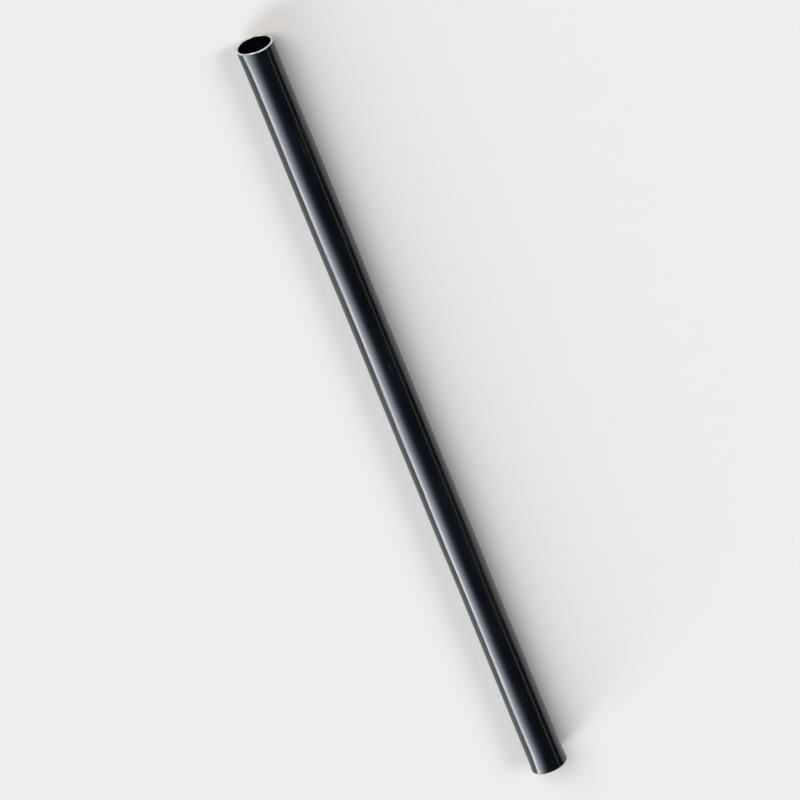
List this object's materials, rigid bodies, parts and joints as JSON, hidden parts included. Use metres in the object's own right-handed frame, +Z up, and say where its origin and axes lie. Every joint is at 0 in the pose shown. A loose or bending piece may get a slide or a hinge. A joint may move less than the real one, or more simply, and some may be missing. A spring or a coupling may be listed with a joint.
{
  "type": "drinking straw",
  "caption": "Straight drinking straw: a thin-walled plastic tube lying on its side, open at both ends, with square knife-cut mouths squeezed slightly oval.",
  "frame": {"origin": "on the ground, under the middle of the lying straw: the bottom centre of its bounding box", "axes": "+X along the straw from its middle to one mouth, +Z up, Y across it"},
  "size_m": [0.146, 0.0062, 0.006],
  "materials": {
    "black_polypropylene": "black extruded polypropylene with a soft gloss, faint lengthwise die lines and pale stress-whitened cut edges"
  },
  "bodies": {
    "root": {"straw": "black_polypropylene"}
  },
  "joints": []
}
